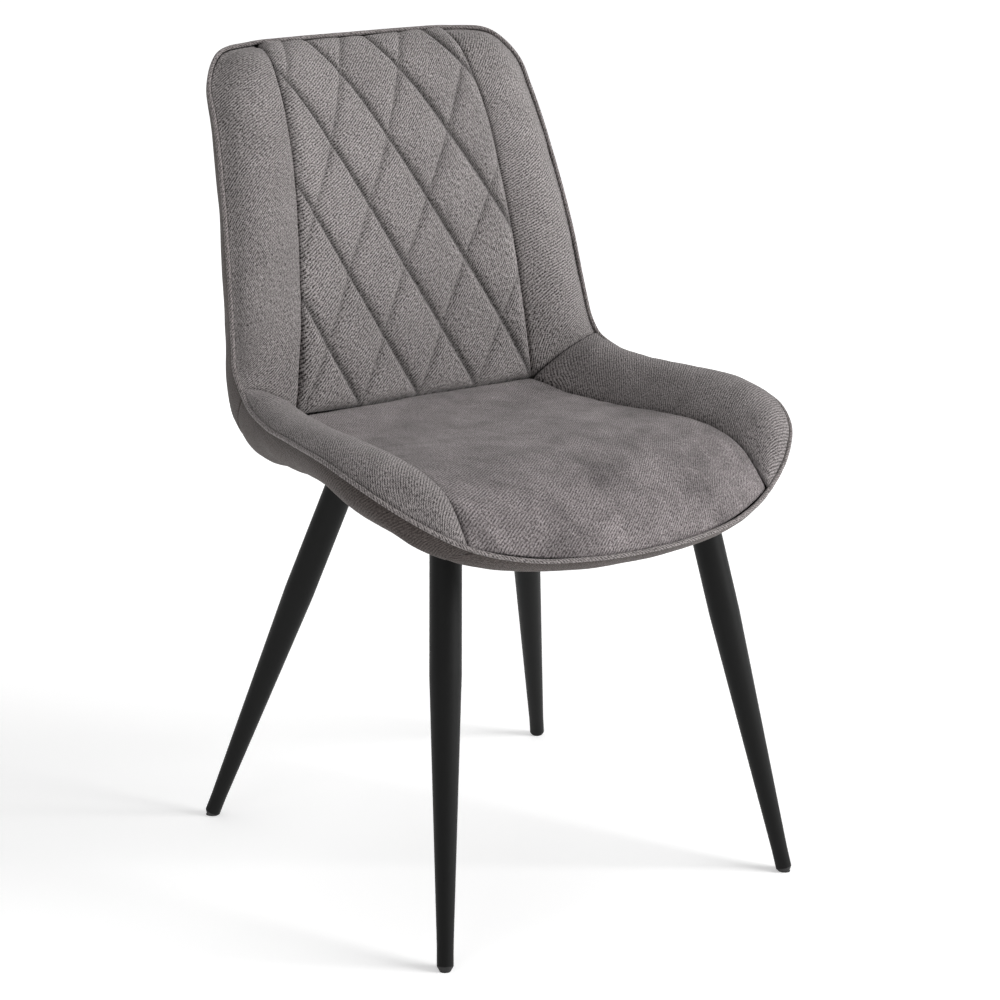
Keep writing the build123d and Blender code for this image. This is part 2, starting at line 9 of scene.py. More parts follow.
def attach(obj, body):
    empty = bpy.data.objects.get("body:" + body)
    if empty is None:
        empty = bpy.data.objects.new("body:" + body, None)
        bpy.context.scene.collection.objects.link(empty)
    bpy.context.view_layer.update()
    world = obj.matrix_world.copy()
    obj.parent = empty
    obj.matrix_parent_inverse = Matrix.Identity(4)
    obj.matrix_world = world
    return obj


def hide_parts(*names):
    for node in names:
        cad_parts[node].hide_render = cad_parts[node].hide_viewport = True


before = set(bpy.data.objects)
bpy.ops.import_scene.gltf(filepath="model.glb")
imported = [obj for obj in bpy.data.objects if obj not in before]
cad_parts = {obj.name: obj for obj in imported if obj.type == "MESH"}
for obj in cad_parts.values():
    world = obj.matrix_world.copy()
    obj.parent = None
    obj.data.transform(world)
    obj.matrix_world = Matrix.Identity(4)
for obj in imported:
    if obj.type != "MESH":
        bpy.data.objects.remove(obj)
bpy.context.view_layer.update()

# ---- camera -----------------------------------------------------------------------------

CAMERA_PLACE = (-1.5695, -2.3735, 1.2395)
CAMERA_TURN, CAMERA_RISE = -33.73, 16.73       # degrees round z from -y, and above the horizon
CAMERA_LENS, SENSOR_WIDTH = 101.87, 36.0


def make_camera():
    data = bpy.data.cameras.new("camera")
    data.lens = CAMERA_LENS
    data.sensor_width = SENSOR_WIDTH
    camera = bpy.data.objects.new("camera", data)
    bpy.context.scene.collection.objects.link(camera)
    turn, rise = math.radians(CAMERA_TURN), math.radians(CAMERA_RISE)
    back = Vector((math.sin(turn) * math.cos(rise), -math.cos(turn) * math.cos(rise), math.sin(rise)))
    camera.location = CAMERA_PLACE
    camera.rotation_mode = "QUATERNION"
    camera.rotation_quaternion = (-back).to_track_quat("-Z", "Y")
    bpy.context.scene.camera = camera


make_camera()

# ---- the upholstered face and its depth, as in the CAD ----------------------------------
# Rails run along the right half of the face, in design millimetres. A station runs from the
# front lip (0) over the crease to the top edge (1). A side fraction is 0 in the middle and
# 1 at the piping.

FRAME_Y = 4.0             # design y where the row frame has y = 0
EDGE = np.array([
    (0, 275, 842), (70, 274.5, 842), (125, 271, 841), (170, 256, 835), (193, 235.5, 807.5),
    (197.5, 217, 776), (206.5, 186, 703), (215.5, 161, 625), (222.5, 143, 550), (225, 137, 528),
    (226, 124, 512), (232, 98, 499.5), (241, 50, 492), (253, -30, 493), (262, -110, 493),
    (259, -158, 484), (246, -190, 470), (222, -215, 451), (180, -239, 426),
    (130, -260, 412), (70, -274, 406), (0, -279, 404)], float)
SEAT_SEAM = np.array([
    (150, 141, 468), (156, 65, 464), (165, -18, 467.5), (171, -90, 474), (174, -150, 475),
    (176, -195, 464), (180, -239, 426)], float)
QUILT_SEAM = np.array([
    (150, 141, 468), (140, 145, 553), (133, 157.5, 637), (127, 172, 700), (123.5, 188, 750),
    (120, 210, 792), (117, 237, 826), (114, 271, 842)], float)
SEAT_CENTRE = np.array([
    (0, 142, 468), (0, 80, 465), (0, 0, 470), (0, -90, 478), (0, -160, 478),
    (0, -215, 464), (0, -255, 438), (0, -279, 404)], float)
BACK_CENTRE = np.array([
    (0, 142, 468), (0, 155, 540), (0, 169, 608), (0, 182.5, 678), (0, 201, 741),
    (0, 233, 800), (0, 275, 842)], float)
EDGE_AT_CREASE, EDGE_AT_SEAT_SEAM, EDGE_AT_QUILT_SEAM = 10, 18, 1.8      # places along EDGE

CREASE = 0.45
UPRIGHT_SPAN = (CREASE - 0.10, CREASE + 0.08)
# depth of the chair behind the face at a station, in the middle and towards the sides
DEPTH_CENTRE = [(0, 42), (0.10, 42), (0.14, 48), (0.18, 56), (0.26, 56), (0.34, 47), (0.39, 44),
                (0.43, 52), (0.46, 58), (0.56, 48.5), (0.80, 46), (1, 46)]
DEPTH_SIDE = [(0, 42), (0.10, 42), (0.18, 47), (0.26, 38), (0.34, 43.5), (0.41, 62), (0.47, 71.5),
              (0.56, 62.5), (0.80, 48.5), (1, 48.5)]
CENTRE_ENDS = (0.62, 0.86)
SEAT_SIDE_POWER, BACK_SIDE_POWER = 10.2, 9.0
SEAT_FLARE, BACK_FLARE, FLARE_POWER = 0.30, -0.06, 4
LIP_LEAN, LIP_LEAN_END, LIP_END, LIP_POWER = 0.67, 0.14, 0.167, 5.5
TOP_START, TOP_POWER = 0.80, 2.2
CORNER_CUT, CORNER_STATIONS, CORNER_POWER = 0.25, (0.74, 0.88), 6
BACK_RECLINE = 79.0
SEAT_DISH, BACK_DISH, BASE_DISH = (2.2, 2.6), (2.0, 2.0), (2.2, 2.6)     # powers in y and z
CREASE_BLEND, CROWN_ROUNDNESS, FULL_CROWN_SPAN = 0.14, 0.75, 60.0
BOLSTER_CROWN = np.array((5.0, 0.0, 23.0))
WING_CROWN = np.array((1.8, -11.6, 2.4))
CREASE_CROWN = np.array((0.0, -9.5, 11.0))


def blend(low, high, value):
    """Smooth step from 0 at low to 1 at high."""
    x = np.clip((value - low) / (high - low), 0.0, 1.0)
    return x * x * (3 - 2 * x)


def station_value(table, station):
    for (s0, v0), (s1, v1) in zip(table, table[1:]):
        if station <= s1:
            return v0 + (v1 - v0) * blend(s0, s1, station)
    return table[-1][1]


def rail_point(rail, index):
    """Point of a smooth curve through the rail's points, at a fractional index."""
    last = len(rail) - 1
    index = min(max(index, 0.0), last - 1e-9)
    i = int(index)
    f = index - i

    def at(j):
        if 0 <= j <= last:
            return rail[j]
        inner = rail[1] if j < 0 else rail[last - 1]
        end = rail[0] if j < 0 else rail[last]
        if end[0] == 0 and inner[0] != 0:
            return inner * np.array((-1, 1, 1))
        return end * 2 - inner

    p0, p1, p2, p3 = at(i - 1), at(i), at(i + 1), at(i + 2)
    d0, d1, d2 = (np.linalg.norm(p1 - p0), np.linalg.norm(p2 - p1), np.linalg.norm(p3 - p2))
    m1 = ((p1 - p0) * (d1 / d0) + (p2 - p1) * (d0 / d1)) * (d1 / (d0 + d1))
    m2 = ((p2 - p1) * (d2 / d1) + (p3 - p2) * (d1 / d2)) * (d1 / (d1 + d2))
    return (p1 * (2 * f**3 - 3 * f**2 + 1) + m1 * (f**3 - 2 * f**2 + f)
            + p2 * (3 * f**2 - 2 * f**3) + m2 * (f**3 - f**2))


def along(rail, v, start=0.0, end=None):
    end = len(rail) - 1 if end is None else end
    return rail_point(rail, start + (end - start) * v)


def seat_edge(v):
    return along(EDGE, v, EDGE_AT_CREASE, EDGE_AT_SEAT_SEAM)


def back_edge(v):
    return along(EDGE, v, EDGE_AT_CREASE, EDGE_AT_QUILT_SEAM)


def spread(centre, side, across, dish):
    """Row of points across a panel, one for each side fraction in across."""
    t = np.abs(across)
    y_power, z_power = dish
    step = side - centre
    return np.stack((np.sign(across) * step[0] * t, centre[1] + step[1] * t**y_power,
                     centre[2] + step[2] * t**z_power), axis=1)


def padded_row(seam, edge, across, v, crown):
    """Crowned row of points from a seam out to the edge."""
    own = blend(0, CREASE_BLEND, v)
    top = CREASE_CROWN * (1 - own) + crown * own
    room = min(1.0, np.linalg.norm(edge - seam) / FULL_CROWN_SPAN)
    rise = np.sin(np.pi * np.clip(across, 0, 1)) ** CROWN_ROUNDNESS * room
    return seam + (edge - seam) * across[:, None] + top * rise[:, None]


def face_row(kind, v, across):
    """Row of points of the CAD's face in a region; v runs from the crease to the region's far end."""
    if kind == "seat":
        return spread(along(SEAT_CENTRE, v), along(SEAT_SEAM, v), across, SEAT_DISH)
    if kind == "back":
        return spread(along(BACK_CENTRE, v), along(QUILT_SEAM, v), across, BACK_DISH)
    if kind == "bolster":
        return padded_row(along(SEAT_SEAM, v), seat_edge(v), across, v, BOLSTER_CROWN)
    return padded_row(along(QUILT_SEAM, v), back_edge(v), across, v, WING_CROWN)


def base_row(station, side):
    """Row of points of the uncrowned face, from which depths are measured."""
    if station <= CREASE:
        v = 1 - station / CREASE
        return spread(along(SEAT_CENTRE, v), seat_edge(v), side, BASE_DISH)
    v = (station - CREASE) / (1 - CREASE)
    return spread(along(BACK_CENTRE, v), back_edge(v), side, BASE_DISH)


def upright(station):
    """0 over the seat, 1 over the back."""
    return blend(*UPRIGHT_SPAN, station)


def inward_row(station, side):
    """Unit directions from the face into the chair."""
    up = upright(station)
    turn = math.radians(BACK_RECLINE) * up
    lip = 1 - blend(0, LIP_LEAN_END, station)
    flare = SEAT_FLARE + (BACK_FLARE - SEAT_FLARE) * up
    x = np.sign(side) * flare * side**FLARE_POWER
    y = np.full_like(x, math.sin(turn) + LIP_LEAN * lip)
    d = np.stack((x, y, np.full_like(x, -math.cos(turn))), axis=1)
    return d / np.linalg.norm(d, axis=1)[:, None]


def side_power(station):
    return SEAT_SIDE_POWER + (BACK_SIDE_POWER - SEAT_SIDE_POWER) * upright(station)


def depth_row(station, side):
    """Depth from the uncrowned face to the outside of the covers."""
    t = np.minimum(1.0, np.abs(side))
    rim = min(1.0, max(0.0, station - TOP_START) / (1 - TOP_START)) ** TOP_POWER
    corner = CORNER_CUT * blend(*CORNER_STATIONS, station) * t**CORNER_POWER * (1 - rim)
    full = station_value(DEPTH_SIDE, station)
    deeper = (station_value(DEPTH_CENTRE, station) - full) * (1 - blend(*CENTRE_ENDS, t))
    lip = math.sqrt(1 - (1 - min(1.0, station / LIP_END)) ** LIP_POWER)
    closing = np.sqrt((1 - t**side_power(station)) * (1 - rim)) * (1 - corner)
    return (full * closing + deeper * math.sqrt(1 - rim)) * lip


def station_of(kind, v):
    return CREASE * (1 - v) if kind in ("seat", "bolster") else CREASE + (1 - CREASE) * v


def metres(points):
    """Design millimetres to metres in the row frame."""
    return (points - np.array((0, FRAME_Y, 0))) / 1000


# ---- mesh building ----------------------------------------------------------------------


def grid_normals(points):
    dr = np.gradient(points, axis=0)
    dc = np.gradient(points, axis=1)
    n = np.cross(dr, dc)
    return n / np.maximum(np.linalg.norm(n, axis=2), 1e-9)[:, :, None]


def arc_lengths(points):
    """Distances across each row from its middle and along the middle column, in the points' unit."""
    across = np.linalg.norm(np.diff(points, axis=1), axis=2)
    u = np.concatenate((np.zeros((len(points), 1)), np.cumsum(across, axis=1)), axis=1)
    middle = points.shape[1] // 2
    u = u - u[:, middle][:, None]
    down = np.linalg.norm(np.diff(points[:, middle], axis=0), axis=1)
    v = np.concatenate(((0.0,), np.cumsum(down)))
    return u, np.repeat(v[:, None], points.shape[1], axis=1)


RUMPLE_ROUGH, RUMPLE_STEP, RUMPLE_OCTAVES = 1.0, 2.1, 3


def rumple(points, size, amount, seed):
    """Soft uneven relief, the same on every run."""
    out = np.empty(points.shape[:2])
    for i, row in enumerate(points):
        for j, p in enumerate(row):
            q = Vector((p[0] / size + seed, p[1] / size, p[2] / size))
            out[i, j] = noise.fractal(q, RUMPLE_ROUGH, RUMPLE_STEP, RUMPLE_OCTAVES)
    return out * amount


def make_object(name, verts, faces, uvs, material):
    """Mesh object from vertices, faces and per-vertex uv layers {name: array}."""
    mesh = bpy.data.meshes.new(name)
    mesh.from_pydata([tuple(v) for v in verts], [], faces)
    mesh.validate()
    for layer_name, values in uvs.items():
        layer = mesh.uv_layers.new(name=layer_name)
        index = np.empty(len(mesh.loops), dtype=np.int32)
        mesh.loops.foreach_get("vertex_index", index)
        layer.data.foreach_set("uv", values[index].astype(np.float32).ravel())
    bm = bmesh.new()
    bm.from_mesh(mesh)
    bmesh.ops.recalc_face_normals(bm, faces=bm.faces)
    bm.to_mesh(mesh)
    bm.free()
    mesh.polygons.foreach_set("use_smooth", np.ones(len(mesh.polygons), dtype=bool))
    obj = bpy.data.objects.new(name, mesh)
    bpy.context.scene.collection.objects.link(obj)
    mesh.materials.append(material)
    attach(obj, "root")
    return obj


def grid_faces(rows, columns, start=0, flip=False):
    faces = []
    for i in range(rows - 1):
        for j in range(columns - 1):
            a = start + i * columns + j
            quad = (a, a + 1, a + columns + 1, a + columns)
            faces.append(quad[::-1] if flip else quad)
    return faces


def closed_pad(top, wall):
    """Closed form under a grid of points: walls down both sides, and one flat strip below each row."""
    rows, columns = top.shape[:2]
    faces = grid_faces(rows, columns)
    first_left = rows * columns
    first_right = first_left + rows
    verts = np.concatenate((top.reshape(-1, 3), top[:, 0] + wall[:, 0], top[:, -1] + wall[:, -1]))
    for i in range(rows - 1):
        a, b = i * columns, (i + 1) * columns
        faces.append((a, b, first_left + i + 1, first_left + i))
        a, b = a + columns - 1, b + columns - 1
        faces.append((b, a, first_right + i, first_right + i + 1))
        faces.append((first_left + i, first_left + i + 1, first_right + i + 1, first_right + i))
    faces.append(tuple(range(columns))[::-1] + (first_left, first_right))
    end = (rows - 1) * columns
    faces.append(tuple(range(end, end + columns)) + (first_right + rows - 1, first_left + rows - 1))
    return verts, faces


def closed_slab(outer, inner):
    """Closed sheet between two grids of points."""
    rows, columns = outer.shape[:2]
    size = rows * columns
    verts = np.concatenate((outer.reshape(-1, 3), inner.reshape(-1, 3)))
    faces = grid_faces(rows, columns) + grid_faces(rows, columns, size, flip=True)
    ring = list(range(columns))
    ring += [i * columns + columns - 1 for i in range(1, rows)]
    ring += [(rows - 1) * columns + j for j in range(columns - 2, -1, -1)]
    ring += [i * columns for i in range(rows - 2, 0, -1)]
    for a, b in zip(ring, ring[1:] + ring[:1]):
        faces.append((a, b, b + size, a + size))
    return verts, faces


# ---- materials --------------------------------------------------------------------------


MIX_SOCKETS = (0, 6, 7)   # factor, first colour and second colour of a Mix node in colour mode


class Graph:
    """Small helper to lay out a node material."""

    def __init__(self, name):
        self.material = bpy.data.materials.new(name)
        self.material.use_nodes = True
        self.tree = self.material.node_tree
        self.shader = self.tree.nodes["Principled BSDF"]

    def node(self, kind, **settings):
        made = self.tree.nodes.new(kind)
        for key, value in settings.items():
            setattr(made, key, value)
        return made

    def link(self, output, target):
        self.tree.links.new(output, target)

    def math(self, operation, a, b=None):
        made = self.node("ShaderNodeMath", operation=operation)
        for slot, value in enumerate((a, b)):
            if value is None:
                continue
            if isinstance(value, (int, float)):
                made.inputs[slot].default_value = value
            else:
                self.link(value, made.inputs[slot])
        return made.outputs[0]

    def add(self, a, b):
        return self.math("ADD", a, b)

    def less(self, a, b):
        return self.math("SUBTRACT", a, b)

    def times(self, a, b):
        return self.math("MULTIPLY", a, b)

    def separate(self, vector):
        made = self.node("ShaderNodeSeparateXYZ")
        self.link(vector, made.inputs[0])
        return made.outputs

    def mapped(self, source, scale=(1, 1, 1), angle=0.0):
        made = self.node("ShaderNodeMapping")
        made.inputs["Scale"].default_value = scale
        made.inputs["Rotation"].default_value = (0, 0, angle)
        self.link(source, made.inputs["Vector"])
        return made.outputs[0]

    def noise(self, source, scale, detail, rough=0.5, distortion=0.0):
        made = self.node("ShaderNodeTexNoise")
        self.link(source, made.inputs["Vector"])
        made.inputs["Scale"].default_value = scale
        made.inputs["Detail"].default_value = detail
        made.inputs["Roughness"].default_value = rough
        made.inputs["Distortion"].default_value = distortion
        return made.outputs["Fac"]

    def ramp(self, source, stops):
        made = self.node("ShaderNodeValToRGB")
        self.link(source, made.inputs[0])
        elements = made.color_ramp.elements
        while len(elements) < len(stops):
            elements.new(0.5)
        for element, (place, value) in zip(elements, stops):
            element.position = place
            element.color = (*value, 1) if isinstance(value, tuple) else (value, value, value, 1)
        return made.outputs[0]

    def mix(self, factor, a, b):
        made = self.node("ShaderNodeMix", data_type="RGBA")
        for place, value in zip(MIX_SOCKETS, (factor, a, b)):
            socket = made.inputs[place]
            if isinstance(value, (int, float)):
                socket.default_value = value
            elif isinstance(value, tuple):
                socket.default_value = (*value, 1)
            else:
                self.link(value, socket)
        return made.outputs[2]

    def bump(self, height, strength, distance):
        made = self.node("ShaderNodeBump")
        made.inputs["Strength"].default_value = strength
        made.inputs["Distance"].default_value = distance
        self.link(height, made.inputs["Height"])
        return made.outputs[0]


QUILT_CELL = 64.0         # millimetres between two parallel quilt lines
# painted shade of each set of quilt lines: darkness of the painted shade in the groove on the line,
# darkness of the painted shade of the fold beside it, and on which side of the line the fold lies
QUILT_LINE_SHADES = ((0.66, 0.54, 1), (0.42, 0.20, -1))
GROOVE_SHADE_REACH, FOLD_SHADE_REACH, FOLD_SHADE_CENTRE = 1.2, 6.0, 1.5  # millimetres from a quilt line

TWILL_PITCH = 0.0024      # metres from rib to rib
THREAD_PITCH = 0.8        # thread to thread, as a share of the pitch
WOBBLE_SCALE, RIB_WOBBLE, THREAD_WOBBLE = 70.0, 5.0, 9.0
RIB_HEIGHT, THREAD_HEIGHT = 0.34, 0.30
FIBRE_SCALE, FIBRE_ROUGH, FIBRE_HEIGHT, FIBRE_STRETCH = 560.0, 0.8, 4.8, (0.6, 1.2, 1)
SPECK_SCALE, SPECK_ROUGH, SPECK_RANGE = 520.0, 0.6, (0.60, 0.70)
SPECK_COVER, SPECK_LIGHTER = 0.7, 1.7
PATCH_SCALE, PATCH_ROUGH, PATCH_SWIRL, PATCH_TONE = 16.0, 0.62, 0.4, 2.2
STREAK_SCALE, STREAK_ROUGH, STREAK_TONE = 70.0, 0.6, 0.8
STREAK_STRETCH, STREAK_ANGLE = (1, 0.35, 1), 0.5
WEAVE_BUMP, WEAVE_RELIEF = 0.7, 0.0004
ROUGH_BASE, ROUGH_PATCHES = 0.80, 0.14
FABRIC_SPECULAR = 0.15
SHEEN_WEIGHT, SHEEN_ROUGH, SHEEN_TINT = 0.22, 0.45, (0.95, 0.92, 0.90, 1)


def quilt_painted_shade(g):
    """0 between the quilt lines, up to the darkness of the painted shade in the groove on them and on
    the fold beside them.
    """
    lattice = g.separate(g.node("ShaderNodeUVMap", uv_map="quilt").outputs[0])
    lines = []
    for place, (groove_darkness, fold_darkness, rising) in zip(lattice, QUILT_LINE_SHADES):
        past = g.times(g.less(place, g.math("ROUND", place)), QUILT_CELL * rising)
        line = g.less(1.0, g.times(g.math("ABSOLUTE", past), 1 / GROOVE_SHADE_REACH))
        groove_shade = g.times(g.math("MAXIMUM", line, 0.0), groove_darkness)
        aside = g.math("ABSOLUTE", g.less(past, FOLD_SHADE_CENTRE))
        fold_shade = g.less(1.0, g.times(aside, 1 / FOLD_SHADE_REACH))
        lines.append(g.math("MAXIMUM", groove_shade, g.times(g.math("MAXIMUM", fold_shade, 0.0), fold_darkness)))
    return g.math("MAXIMUM", lines[0], lines[1])


def fabric(name, light, dark, angle, pitch=TWILL_PITCH, weave=1.0, specks=0.5, nap=0.18, quilt=False):
    """Microfibre with a twill weave, pale specks and brushed patches; its light and dark follow the
    weave's height, partly the threads' own tone and partly painted shade of the relief; uv map "weave"
    is in metres.
    """
    g = Graph(name)
    uv = g.node("ShaderNodeUVMap", uv_map="weave").outputs[0]
    turned = g.mapped(uv, angle=math.radians(angle))
    along_rib, across_rib = g.separate(turned)[:2]
    wobble = g.noise(uv, WOBBLE_SCALE, detail=2.0)
    rib_phase = g.times(across_rib, 2 * math.pi / pitch)
    thread_phase = g.times(along_rib, 2 * math.pi / (pitch * THREAD_PITCH))
    ribs = g.math("SINE", g.add(rib_phase, g.times(wobble, RIB_WOBBLE)))
    threads = g.math("SINE", g.add(thread_phase, g.times(wobble, THREAD_WOBBLE)))
    cloth = g.add(g.times(ribs, RIB_HEIGHT), g.times(g.times(ribs, threads), THREAD_HEIGHT))
    fibres = g.noise(g.mapped(turned, FIBRE_STRETCH), FIBRE_SCALE, detail=3.0, rough=FIBRE_ROUGH)
    grain = g.times(g.less(fibres, 0.5), FIBRE_HEIGHT)
    height = g.add(g.add(cloth, 0.5), grain)
    # the colour runs from dark to light with the weave's height: partly the threads' own tone, partly
    # painted shade of the ribs and fibres
    relief_painted_shade = g.add(g.times(g.less(height, 0.5), weave), 0.5)
    colour = g.mix(relief_painted_shade, dark, light)
    speck_start, speck_full = SPECK_RANGE
    speckle = g.noise(uv, SPECK_SCALE, detail=2.0, rough=SPECK_ROUGH)
    fleck = g.ramp(speckle, [(speck_start, 0.0), (speck_full, 1.0)])
    pale = tuple(min(1, c * SPECK_LIGHTER) for c in light)
    colour = g.mix(g.times(fleck, specks * SPECK_COVER), colour, pale)
    patches = g.noise(uv, PATCH_SCALE, detail=5.0, rough=PATCH_ROUGH, distortion=PATCH_SWIRL)
    pulled = g.mapped(uv, STREAK_STRETCH, STREAK_ANGLE)
    streaks = g.noise(pulled, STREAK_SCALE, detail=3.0, rough=STREAK_ROUGH)
    brushed = g.add(g.times(g.less(patches, 0.5), nap * PATCH_TONE),
                    g.times(g.less(streaks, 0.5), nap * STREAK_TONE))
    tone = g.add(brushed, 1.0)
    # on the quilted back the tone is darkened by painted shade along the quilt grooves and the folds
    # beside them
    if quilt:
        tone = g.times(tone, g.less(1.0, quilt_painted_shade(g)))
    shaded = g.node("ShaderNodeVectorMath", operation="SCALE")
    g.link(colour, shaded.inputs[0])
    g.link(tone, shaded.inputs["Scale"])
    g.link(shaded.outputs[0], g.shader.inputs["Base Color"])
    g.link(g.bump(height, WEAVE_BUMP, WEAVE_RELIEF), g.shader.inputs["Normal"])
    g.link(g.add(g.times(patches, ROUGH_PATCHES), ROUGH_BASE), g.shader.inputs["Roughness"])
    g.shader.inputs["Specular IOR Level"].default_value = FABRIC_SPECULAR
    g.shader.inputs["Sheen Weight"].default_value = SHEEN_WEIGHT
    g.shader.inputs["Sheen Roughness"].default_value = SHEEN_ROUGH
    g.shader.inputs["Sheen Tint"].default_value = SHEEN_TINT
    return g.material


BROAD_SHARE, BROAD_LEAST = 0.04, 6         # scale of the broad mottling from that of the grain
GRAIN_WEIGHT, BROAD_WEIGHT, MOTTLE_RANGE = 0.65, 0.35, (0.30, 0.70)
ROUGH_SPREAD, GRAIN_BUMP = 0.16, 0.5


def simple(name, light, dark, rough, scale, relief, metal=0.0, stretch=(1, 1, 1), spec=0.5):
    """Painted, moulded, metal or wooden surface with fine mottling and grain from object space."""
    g = Graph(name)
    place = g.node("ShaderNodeTexCoord").outputs["Object"]
    grain = g.noise(g.mapped(place, stretch), scale, detail=4.0, rough=0.6)
    broad = g.noise(place, scale * BROAD_SHARE + BROAD_LEAST, detail=3.0)
    both = g.add(g.times(grain, GRAIN_WEIGHT), g.times(broad, BROAD_WEIGHT))
    start, full = MOTTLE_RANGE
    g.link(g.ramp(both, [(start, dark), (full, light)]), g.shader.inputs["Base Color"])
    g.link(g.add(g.times(broad, ROUGH_SPREAD), rough - ROUGH_SPREAD / 2), g.shader.inputs["Roughness"])
    g.shader.inputs["Metallic"].default_value = metal
    g.shader.inputs["Specular IOR Level"].default_value = spec
    g.link(g.bump(grain, GRAIN_BUMP, relief), g.shader.inputs["Normal"])
    return g.material


BACK_FABRIC = fabric("fabric_back", (0.400, 0.372, 0.368), (0.026, 0.022, 0.021), angle=-45.0,
                     nap=0.24, quilt=True)
WING_FABRIC = fabric("fabric_wing", (0.380, 0.352, 0.348), (0.026, 0.022, 0.021), angle=-40.0,
                     nap=0.28)
SEAT_FABRIC = fabric("fabric_seat", (0.300, 0.272, 0.274), (0.050, 0.041, 0.042), angle=45.0,
                     specks=0.8, nap=0.85)
BOLSTER_FABRIC = fabric("fabric_bolster", (0.340, 0.312, 0.310), (0.026, 0.022, 0.022), angle=40.0,
                        pitch=0.0027, nap=0.36)
# the outer covers are the face fabric darkened far below it: their colours are painted shade of the
# covers turned away from the light
SHADED_COVER_FABRIC = fabric("fabric_cover_painted_shade", (0.100, 0.083, 0.078), (0.026, 0.021, 0.019), angle=45.0,
                      weave=0.8, nap=0.34)
PIPING_FABRIC = fabric("fabric_piping", (0.340, 0.310, 0.306), (0.036, 0.030, 0.029), angle=50.0,
                       nap=0.15)

LEG_PAINT = simple("black_powder_coat", (0.0072, 0.0073, 0.0072), (0.0048, 0.0049, 0.0048),
                   rough=0.50, scale=2600.0, relief=0.00005, spec=0.16)
FOOT_PLASTIC = simple("foot_plastic", (0.010, 0.010, 0.010), (0.006, 0.006, 0.006),
                      rough=0.62, scale=1500.0, relief=0.00005)
SHELL_PLASTIC = simple("shell_plastic", (0.030, 0.030, 0.031), (0.020, 0.020, 0.021),
                       rough=0.55, scale=400.0, relief=0.0001)
PLYWOOD = simple("plywood", (0.036, 0.033, 0.031), (0.018, 0.016, 0.015),
                 rough=0.75, scale=60.0, relief=0.0002, stretch=(1, 12, 12), spec=0.2)
DUST_CLOTH = simple("dust_cloth", (0.022, 0.021, 0.021), (0.010, 0.010, 0.010),
                    rough=0.95, scale=900.0, relief=0.0003, spec=0.1)
ZINC = simple("zinc_steel", (0.62, 0.62, 0.60), (0.42, 0.42, 0.42),
              rough=0.36, scale=500.0, relief=0.00003, metal=1.0)
BLACK_OXIDE = simple("black_oxide", (0.030, 0.030, 0.032), (0.014, 0.014, 0.016),
                     rough=0.38, scale=700.0, relief=0.00003, metal=0.6)

# ---- padded pieces ----------------------------------------------------------------------

COVER_GAP, COVER_GAP_SHARE = 2.2, 0.35     # cover and gap below it, and their largest share of a depth
SHELL_WALL, SHELL_WALL_SHARE = 8.0, 0.5
LEAST_ROOM, WALL_SHARE = 3.0, 0.55         # room below a pad, and how far its walls go down into it
SEAM_GAP, EDGE_GAP = 0.15, 1.2             # from a pad to its seam, and to the piping
LEAST_REACH = 0.6                          # share of the way to the edge that a side pad always covers
CREASE_GAP, CENTRE_REACH = 0.0008, 0.9915  # where the centre pads start and end along their region


def valley(distance, depth, width):
    """Sink of a pad beside a seam."""
    return depth * np.exp(-np.maximum(distance, 0) / width)


def pad_grid(kind, rows, columns, v_range, u_range):
    """Points, inward directions, room below and v values of a region, in design millimetres."""
    vs = np.linspace(*v_range, rows)
    points, inwards, room = [], [], []
    for v in vs:
        station = station_of(kind, v)
        low, high = u_range(v)
        across = np.linspace(low, high, columns)
        row = face_row(kind, v, across)
        widest = base_row(station, np.array([1.0]))[0][0]
        side = np.clip(row[:, 0] / widest, -1, 1)
        total = depth_row(station, side)
        outer = total - np.minimum(COVER_GAP, COVER_GAP_SHARE * total)
        inner = outer - np.minimum(SHELL_WALL, SHELL_WALL_SHARE * outer)
        direction = inward_row(station, side)
        bottom = base_row(station, side) + direction * inner[:, None]
        points.append(row)
        inwards.append(direction)
        room.append(np.maximum(np.sum((bottom - row) * direction, axis=1), LEAST_ROOM))
    return np.array(points), np.array(inwards), np.array(room), vs


def away_normals(points, inwards):
    """Unit normals on the side away from the inward directions."""
    normals = grid_normals(points)
    turn = np.sign(np.sum(normals * inwards, axis=2))
    return -normals * np.where(turn == 0, 1, turn)[:, :, None]


def finish_pad(name, points, normals, lift, inwards, room, uvs, material):
    top = points + normals * lift[:, :, None]
    wall = inwards * (room * WALL_SHARE)[:, :, None]
    verts, faces = closed_pad(top, wall)
    layers = {}
    for key, values in uvs.items():
        layers[key] = np.concatenate((values.reshape(-1, 2), values[:, 0], values[:, -1]))
    return make_object(name, metres(verts), faces, layers, material)


def centre_width(seam):
    """Function of v that gives the side fractions between which a centre pad lies."""
    def width(v):
        half = 1 - SEAM_GAP / along(seam, v)[0]
        return -half, half

    return width


def distance_to_side(seam, vs, points):
    half = np.array([along(seam, t)[0] for t in vs])[:, None]
    return half - np.abs(points[:, :, 0])


QUILT_WIDTH = 73.5        # millimetres sideways from one crossing of quilt lines to the next
QUILT_ROWS = [(468.0, 0.0), (607.6, 1.0), (741.4, 2.0), (860.0, 3.0)]      # height, row of crossings
PUFF, PUFF_EDGE = 8.0, 4.0                 # height of a quilted pad, and how soon it starts at a seam
SHALLOW_SHARE = 0.55                       # share of the puff that the shallow set of lines sinks
CLIMB_STEPS = 200


def swell(lattice, rising, falling):
    """0 on each quilt line to 1 between them: a slow rise past a line, a sharp drop to the next."""
    past = (lattice - np.round(lattice)) * QUILT_CELL
    return 1 - np.exp(-np.abs(past) / np.where(past > 0, rising, falling))


